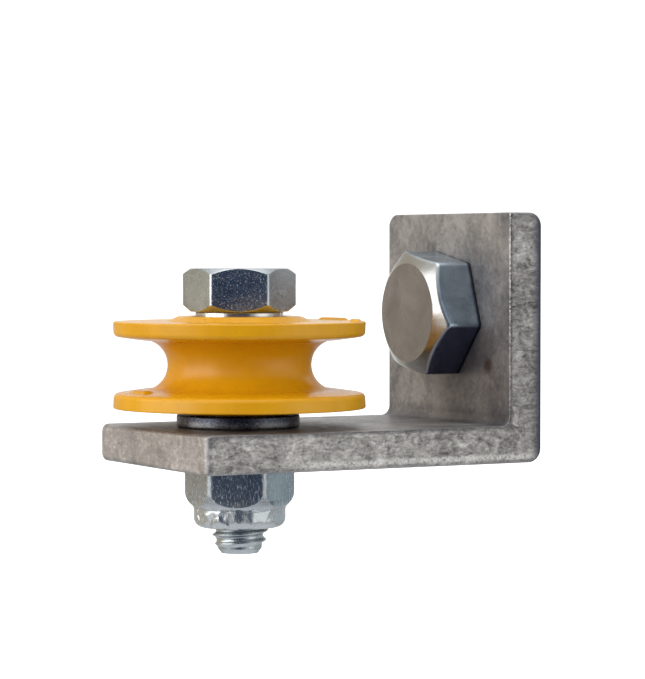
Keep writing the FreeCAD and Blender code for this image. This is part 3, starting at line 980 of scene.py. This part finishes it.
# Radii at the two cut faces: of the leg's top where it meets the face, of the corners at the
# ledge's end, and of that end where it meets the face.
NEAR_CORNERS, FAR_CORNERS = (0.5, 0.45, 1.2), (2.5, 1.15, 0.7)
# Radii of the other faces where they meet a cut face.
BOTTOM_EDGE, BACK_EDGE, LEG_EDGE, LEDGE_EDGE = 0.8, 0.4, 0.30, 0.12
AXLE_HOLE, BOLT_HOLE = 5.25, 6.5


def tuck(radius, depth):
    """How far a face stands in, at a depth from an edge that is rounded over."""
    if depth >= radius:
        return 0.0
    return radius - math.sqrt(radius * radius - (radius - depth) ** 2)


def angle_outline(depth, crest, tip, nose):
    """Outline of the angle at a depth behind a cut face, where its faces draw in."""
    heel, root, toe, burr = 2.0, 1.5, 2.1, 0.2
    low, out, top = tuck(BOTTOM_EDGE, depth), tuck(BACK_EDGE, depth), tuck(crest, depth)
    inner, sunk, end = tuck(LEG_EDGE, depth), tuck(LEDGE_EDGE, depth), tuck(nose, depth)
    left, right = PLATE_LEFT + end, PLATE_RIGHT - out
    bottom, summit = PLATE_BOTTOM + low, PLATE_TOP - top
    face, ledge = PLATE_RIGHT - THICK + inner, LEDGE - sunk
    return filleted([
        (left, bottom, tip), (right, bottom, heel - out / 2), (right, summit, toe - top / 2),
        (face, summit, burr), (face, ledge, root + inner), (left, ledge, tip)], steps=8)


def make_bracket(surface):
    """Angle from outlines set one behind the other, with its two holes drilled."""
    stations = [(depth, PLATE_FRONT + depth, NEAR_CORNERS) for depth in DEPTHS]
    stations += [(depth, PLATE_BACK - depth, FAR_CORNERS) for depth in reversed(DEPTHS)]
    bm = bmesh.new()
    rings = [[bm.verts.new((across * MM, along * MM, up * MM))
              for across, up in angle_outline(depth, *corners)]
             for depth, along, corners in stations]
    for ring, behind in zip(rings, rings[1:]):
        for index in range(len(ring)):
            beside = (index + 1) % len(ring)
            bm.faces.new((ring[index], ring[beside], behind[beside], behind[index]))
    bm.faces.new(rings[0])
    bm.faces.new(rings[-1])
    bmesh.ops.recalc_face_normals(bm, faces=bm.faces)
    drilled = subtract(bm, (hole_cutter(AXLE_HOLE, PLATE_BOTTOM, LEDGE, AXLE_CENTRE, HEAD_UP),
                            hole_cutter(BOLT_HOLE, 0, THICK, BOLT_CENTRE, HEAD_INWARD)))
    add_piece("steel_angle", drilled, surface, "bracket", "bracket_steel", "angle_bracket")


def hole_cutter(radius, low, high, centre, basis):
    """Drill with a small countersink where it passes each face of a plate."""
    sink, past, columns_round = 0.25, 3.0, 96
    section = [(radius + sink + past, low - past), (radius + sink, low), (radius, low + sink),
               (radius, high - sink), (radius + sink, high), (radius + sink + past, high + past)]
    columns = columns_of(lambda angle: section, even_angles(columns_round), centre, basis)
    return skin(columns, False)


def subtract(bm, cutters):
    """The first mesh with the cutters taken out of it."""
    solids = []
    for part in (bm, *cutters):
        mesh = bpy.data.meshes.new("solid")
        part.to_mesh(mesh)
        part.free()
        solid = bpy.data.objects.new("solid", mesh)
        bpy.context.collection.objects.link(solid)
        solids.append(solid)
    for cutter in solids[1:]:
        cut = solids[0].modifiers.new("cut", "BOOLEAN")
        cut.operation, cut.object, cut.solver = "DIFFERENCE", cutter, "EXACT"
    graph = bpy.context.evaluated_depsgraph_get()
    mesh = bpy.data.meshes.new_from_object(solids[0].evaluated_get(graph))
    for solid in solids:
        bpy.data.objects.remove(solid)
    result = bmesh.new()
    result.from_mesh(mesh)
    bpy.data.meshes.remove(mesh)
    return result


# ---------------------------------------------------------------- the scene

def main():
    bpy.context.scene.view_settings.view_transform = "Standard"
    make_camera()
    make_studio()
    make_floor()
    for softbox in SOFTBOXES:
        make_softbox(**softbox)
    make_wheel(nylon("yellow_nylon"))
    make_bracket(galvanised("mottled_steel"))
    make_axle(zinc("axle_plating", base=0.56, rough=(0.20, 0.28), sparkle=0.9,
                   tint=(0.92, 0.99, 1.03)))
    make_mounting_bolt(dull_zinc("bolt_plating"))
    make_nut(zinc("nut_plating", base=0.43, rough=(0.16, 0.24), sparkle=1.1,
                  tint=(0.93, 1.00, 1.06), drawn=0.30, metal=0.80, dented=True))
    make_bush(zinc("bush_steel", base=0.72, rough=(0.14, 0.22), sparkle=0.2))
    make_washer(dark_steel("dark_steel"))
    make_locking_ring(white_nylon("natural_nylon"))


main()
